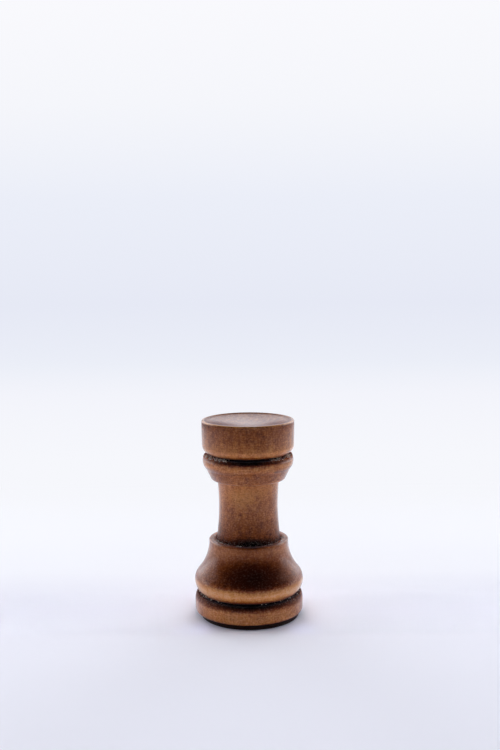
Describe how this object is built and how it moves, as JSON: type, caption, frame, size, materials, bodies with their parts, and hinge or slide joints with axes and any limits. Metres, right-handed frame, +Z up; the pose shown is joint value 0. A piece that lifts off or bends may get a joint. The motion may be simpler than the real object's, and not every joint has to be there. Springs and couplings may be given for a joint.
{
  "type": "chess rook",
  "caption": "Turned wooden chess rook with a dished flat-topped head, beaded collar, waisted neck, bell-shaped base and felted foot, weighted from below.",
  "frame": {"origin": "on the turning axis, at the underside of the felt, where the piece stands", "axes": "+Z up the turning axis, from the felt to the dished head; +X and +Y are free, because the piece is round"},
  "size_m": [0.0254, 0.0254, 0.046],
  "materials": {
    "stained_hardwood": "brown-stained fine-grained hardwood under a semi-gloss clear lacquer, darker in the grooves",
    "steel_slug": "plain cut and deburred bar",
    "plain_dowel": "unstained sawn and sanded wood",
    "dark_felt": "pressed wool felt, matt"
  },
  "bodies": {
    "root": {"turned_body": "stained_hardwood", "base_weight": "steel_slug", "bore_plug": "plain_dowel", "felt_pad": "dark_felt"}
  },
  "joints": []
}
